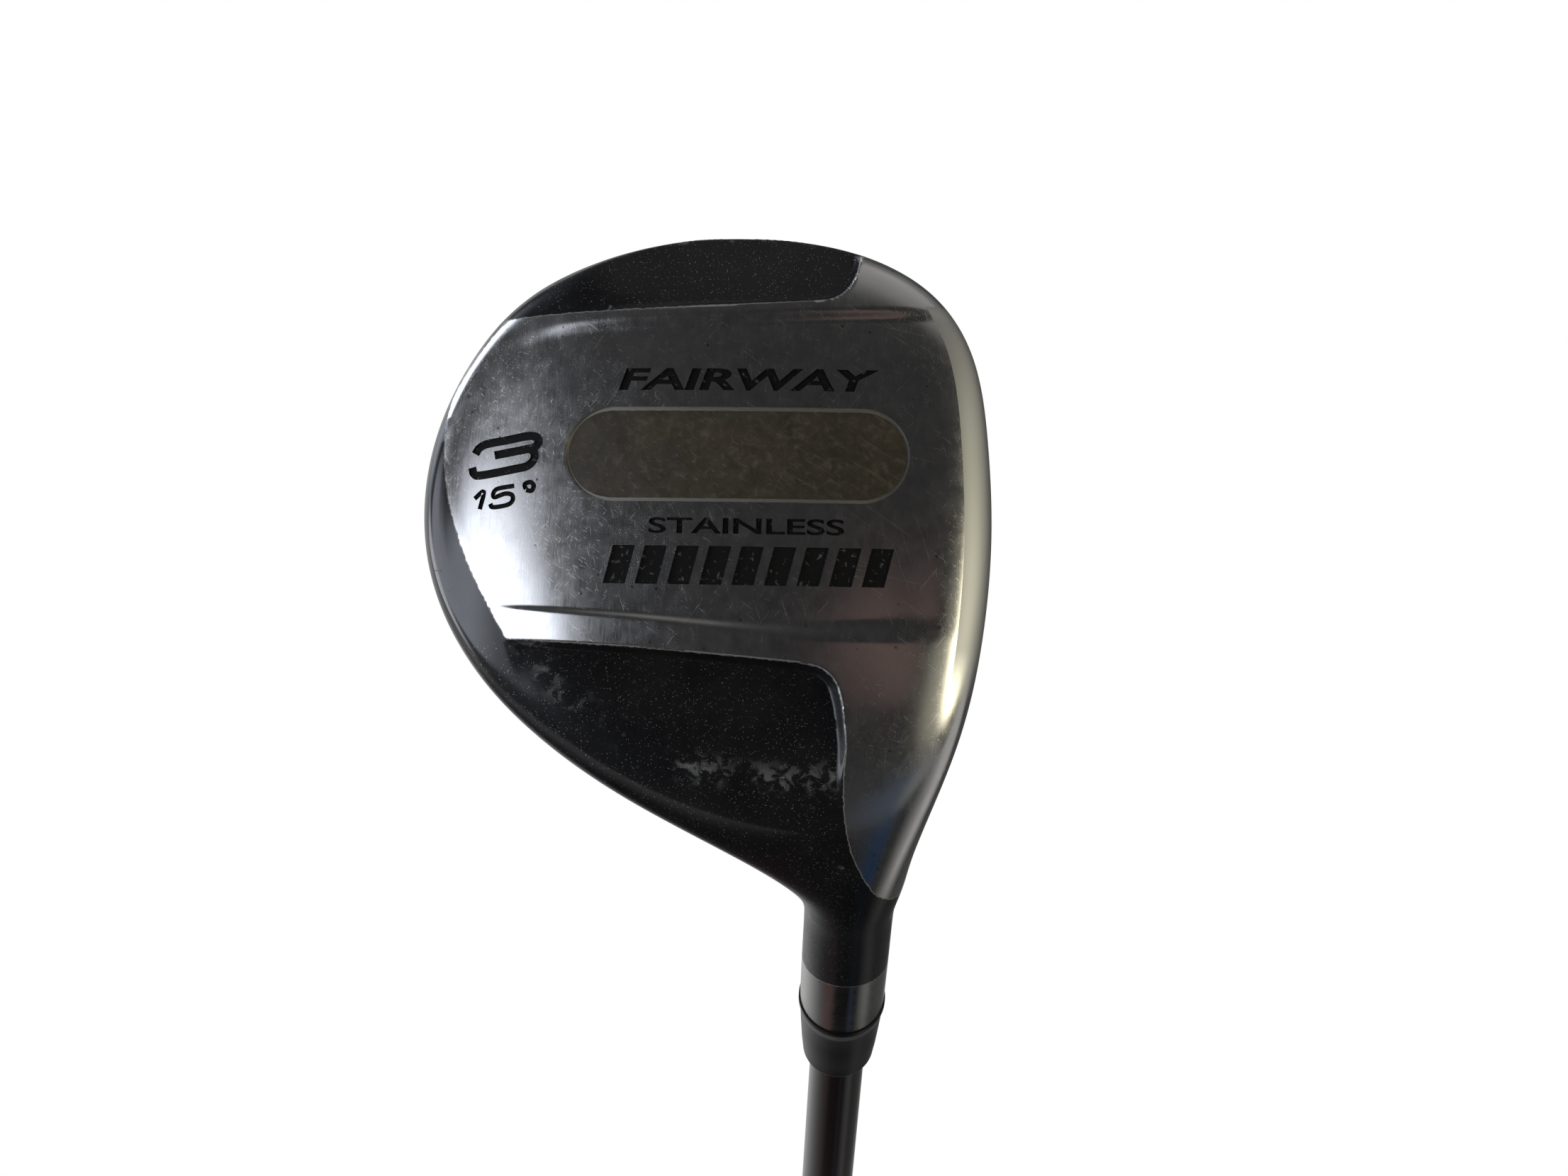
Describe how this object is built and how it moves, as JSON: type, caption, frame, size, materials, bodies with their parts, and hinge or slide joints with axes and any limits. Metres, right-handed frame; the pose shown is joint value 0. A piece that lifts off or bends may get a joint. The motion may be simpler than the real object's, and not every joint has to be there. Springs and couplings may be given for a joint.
{
  "type": "fairway wood",
  "caption": "Right-handed golf fairway wood with a hollow steel head, bare brushed sole with painted toe and heel pockets, glued graphite shaft, ferrule and rubber grip",
  "frame": {"origin": "centre of the grip's butt face, on the shaft's axis, at the mouth of the vent hole", "axes": "+Z along the shaft from the butt to the head; +X the way the face looks (the target); the sole faces -Y and up, and the toe points +Y"},
  "size_m": [0.08, 0.0914, 1.1274],
  "materials": {
    "painted_casting": "gloss black paint with fine metal flake",
    "brushed_sole": "brushed stainless, worn",
    "blasted_face": "blasted stainless with score lines",
    "aged_adhesive": "dried brown adhesive",
    "hot_melt": "translucent hot melt",
    "plug_nylon": "nylon",
    "shaft_gloss": "gloss dark brown graphite",
    "weight_brass": "turned brass",
    "epoxy": "cured epoxy",
    "ferrule_black": "turned black plastic, satin gloss",
    "tape": "double-sided paper tape",
    "grip_rubber": "moulded rubber, matt",
    "cap_rubber": "hard rubber"
  },
  "bodies": {
    "root": {"body_casting": "painted_casting", "sole_plate": "brushed_sole", "face_plate": "blasted_face", "badge_adhesive": "aged_adhesive", "hot_melt_patch": "hot_melt", "hosel_plug": "plug_nylon", "shaft": "shaft_gloss", "tip_weight": "weight_brass", "shaft_epoxy": "epoxy", "ferrule": "ferrule_black", "grip_tape": "tape", "grip": "grip_rubber", "grip_cap": "cap_rubber"}
  },
  "joints": []
}
